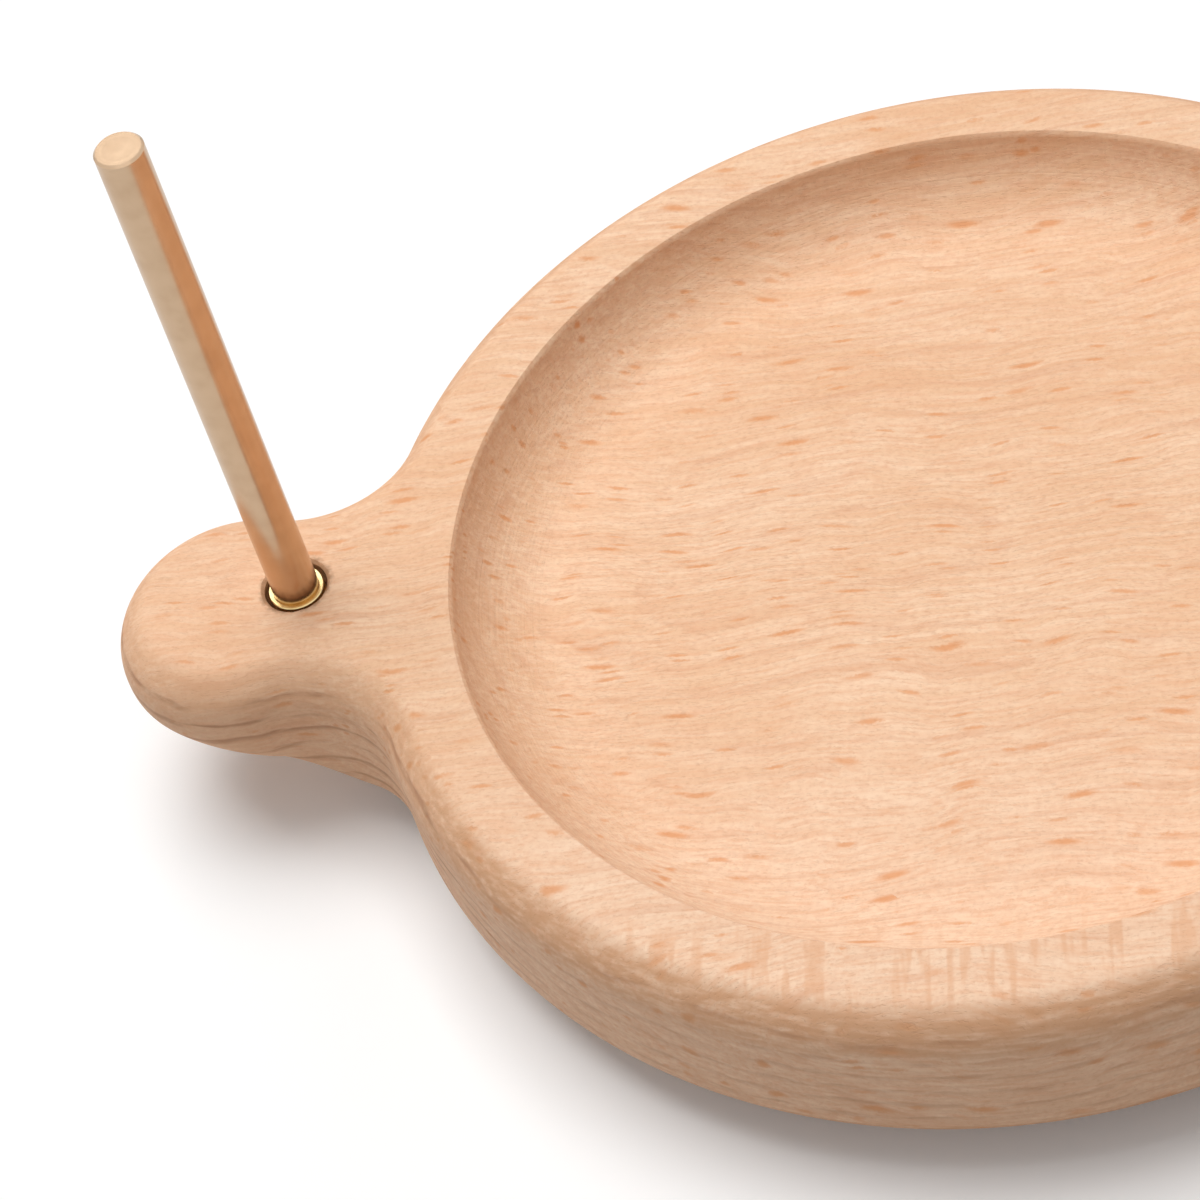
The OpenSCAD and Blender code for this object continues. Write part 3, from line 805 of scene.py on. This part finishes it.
def metal(made, colour, roughness, spread, axis=(0.0, 0.0, 0.0), round_=3.0, up=3.0,
          relief=0.004 * MM, tarnish=None):
    """A metal finish with tool lines about an upright axis, given in millimetres."""
    made, tree, shader, spot = finish_of(made)
    centred = add(tree, "ShaderNodeVectorMath", {0: spot, 1: axis}, operation="SUBTRACT").outputs[0]
    cut, smudge = add(tree, "ShaderNodeGroup", {"Place": centred, "Round": round_, "Up": up},
                      node_tree=lines_tree).outputs
    dull = tarnish or tuple(0.8 * c for c in colour)
    tree.links.new(blend(tree, ramp(tree, smudge, 0.35, 0.75), colour, dull), shader.inputs["Base Color"])
    shader.inputs["Metallic"].default_value = 1.0
    rough = maths(tree, "ADD", roughness, maths(tree, "MULTIPLY", maths(tree, "SUBTRACT", cut, 0.5), spread))
    tree.links.new(rough, shader.inputs["Roughness"])
    bump(tree, shader, cut, relief)
    return made


def dress(names, made):
    """Gives CAD nodes their finish."""
    for name in names:
        nodes[name].data.materials.clear()
        nodes[name].data.materials.append(made)
        print(name, "->", made.name)


metal(brass, (0.62, 0.44, 0.29), 0.24, 0.12, ROD_AXIS, round_=5.0, up=0.6, tarnish=(0.57, 0.395, 0.255))
metal(insert_brass, (0.86, 0.66, 0.34), 0.22, 0.12, ROD_AXIS, round_=6.0, up=2.0, tarnish=(0.52, 0.33, 0.13))
aluminium = metal("aluminium, turned", (0.78, 0.79, 0.80), 0.30, 0.16, relief=0.008 * MM)
steel = metal("steel, ball polished", (0.70, 0.71, 0.73), 0.08, 0.02, relief=0.001 * MM)
zinc = metal("steel, zinc plated", (0.66, 0.68, 0.71), 0.28, 0.10, relief=0.003 * MM)
dress(["bearing_inner_ring", "bearing_outer_ring"], aluminium)
dress(["bearing_balls"], steel)
dress(["ring_screws"], zinc)

# %% Nylon and rubber
nylon, tree, shader, spot = finish_of("nylon, moulded")
speck = noise(tree, spot, 1.6, 3.0)
tree.links.new(blend(tree, speck, (0.80, 0.77, 0.69), (0.86, 0.84, 0.78)), shader.inputs["Base Color"])
shader.inputs["Roughness"].default_value = 0.42
shader.inputs["Subsurface Weight"].default_value = 0.15
shader.inputs["Subsurface Scale"].default_value = 2 * MM
bump(tree, shader, speck, 0.02 * MM)
dress(["ball_cage", "filling_plug"], nylon)

rubber, tree, shader, spot = finish_of("rubber, anti-slip")
tooth = noise(tree, spot, 5.0, 4.0)
dusty = noise(tree, spot, 0.18, 3.0)
tree.links.new(blend(tree, ramp(tree, dusty, 0.4, 0.7), (0.035, 0.035, 0.037), (0.07, 0.068, 0.066)),
               shader.inputs["Base Color"])
tree.links.new(ramp(tree, tooth, 0.3, 0.7, 0.78, 0.95), shader.inputs["Roughness"])
bump(tree, shader, tooth, 0.06 * MM)
dress(["grip_ring"], rubber)

# %% [markdown]
# # Floor, light and camera
# A product shot of pale wood wants one broad light high behind the object, so that the
# dish's far wall and the near edge fall into soft shade. A second one, much weaker, stands
# on the near side and keeps that edge from going grey. The white backdrop is the world
# itself, seen only by the camera and by reflections.
#
# The floor is white too and keeps the object's shadow. It throws back a little less light
# than it shows, or the undersides would look lit from below. Further out it glows a little
# for the camera, so that it runs into the backdrop without a line.

# %% Floor and backdrop
FLOOR = 6.0                                 # half its width, in metres
GLOW_NEAR, GLOW_FAR = (250.0, 0.10), (1800.0, 0.95)      # millimetres from the axis, and strength
FILL = 0.17                                 # the world's own light on the object
floor_mesh = bpy.data.meshes.new("floor")
corners = [(x * FLOOR, y * FLOOR, 0.0) for x, y in ((-1, -1), (1, -1), (1, 1), (-1, 1))]
floor_mesh.from_pydata(corners, [], [(0, 1, 2, 3)])
floor = bpy.data.objects.new("floor", floor_mesh)
bpy.context.scene.collection.objects.link(floor)
paper, tree, shader, spot = finish_of("white paper")
rays = add(tree, "ShaderNodeLightPath").outputs
shown, thrown_back = (0.93, 0.93, 0.93), (0.74, 0.73, 0.72)
tree.links.new(blend(tree, rays["Is Diffuse Ray"], shown, thrown_back), shader.inputs["Base Color"])
away = add(tree, "ShaderNodeVectorMath", {0: spot}, operation="LENGTH").outputs["Value"]
glow = ramp(tree, away, GLOW_NEAR[0], GLOW_FAR[0], GLOW_NEAR[1], GLOW_FAR[1])
tree.links.new(maths(tree, "MULTIPLY", rays["Is Camera Ray"], glow), shader.inputs["Emission Strength"])
shader.inputs["Emission Color"].default_value = (1.0, 1.0, 1.0, 1.0)
shader.inputs["Roughness"].default_value = 1.0
shader.inputs["Specular IOR Level"].default_value = 0.0
floor_mesh.materials.append(paper)

world = bpy.data.worlds.new("studio")
bpy.context.scene.world = world
world.use_nodes = True
tree = world.node_tree
sky = next(n for n in tree.nodes if n.type == "BACKGROUND")
rays = add(tree, "ShaderNodeLightPath").outputs
seen = maths(tree, "MAXIMUM", maths(tree, "MAXIMUM", rays["Is Camera Ray"], rays["Is Glossy Ray"]),
             rays["Is Transmission Ray"])
tree.links.new(ramp(tree, seen, 0.0, 1.0, FILL, 1.0), sky.inputs["Strength"])
sky.inputs["Color"].default_value = (1.0, 1.0, 1.0, 1.0)
print("floor", 2 * FLOOR, "m across; the world lights the object at", FILL)

# %% Lights
AIM = Vector((0.0, 0.0, 20 * MM))           # a point in the plate


def softbox(name, azimuth, elevation, distance, size, power):
    """A square area light on a sphere about the plate, facing it. Degrees, metres and watts."""
    az, el = math.radians(azimuth), math.radians(elevation)
    out = Vector((math.cos(el) * math.cos(az), math.cos(el) * math.sin(az), math.sin(el)))
    data = bpy.data.lights.new(name, "AREA")
    data.shape, data.size, data.energy = "SQUARE", size, power
    lamp = bpy.data.objects.new(name, data)
    lamp.location = AIM + distance * out
    lamp.rotation_euler = out.to_track_quat("Z", "Y").to_euler()
    bpy.context.scene.collection.objects.link(lamp)
    print(name, "at", [round(v, 2) for v in lamp.location], power, "W")


softbox("key", azimuth=126, elevation=71, distance=2.4, size=1.8, power=52.0)
softbox("overhead", azimuth=-80, elevation=76, distance=2.4, size=2.2, power=6.5)

# %% Camera
ELEVATION, ROLL, TURN = math.radians(48.39), math.radians(17.78), math.radians(15.01)
STEPS, FOCAL_STEPS = 1200, 4135.5           # steps across the frame, and the focal length in them
STEP = 0.12245 * MM                         # the size of one step at the plate
SHIFT_X, SHIFT_Y = 45.08 * MM, 11.34 * MM   # from the frame's centre to the plate's
ahead = Vector((0, math.cos(ELEVATION), -math.sin(ELEVATION)))
upright = Vector((0, math.sin(ELEVATION), math.cos(ELEVATION)))
right = math.cos(ROLL) * Vector((1, 0, 0)) - math.sin(ROLL) * upright
above = math.sin(ROLL) * Vector((1, 0, 0)) + math.cos(ROLL) * upright
place = -SHIFT_X * right - SHIFT_Y * above - FOCAL_STEPS * STEP * ahead
spin = Matrix.Rotation(TURN, 3, "Z")
axes = Matrix([spin @ right, spin @ above, -(spin @ ahead)]).transposed()
lens = bpy.data.cameras.new("camera")
lens.sensor_width = 36.0
lens.lens = lens.sensor_width * FOCAL_STEPS / STEPS
lens.clip_start = 10 * MM
camera = bpy.data.objects.new("camera", lens)
camera.matrix_world = Matrix.Translation(spin @ place + Vector((0, 0, top))) @ axes.to_4x4()
bpy.context.scene.collection.objects.link(camera)
bpy.context.scene.camera = camera
bpy.context.scene.view_settings.view_transform = "Standard"
print("camera at", [round(v, 4) for v in camera.location], "lens", round(lens.lens, 1))
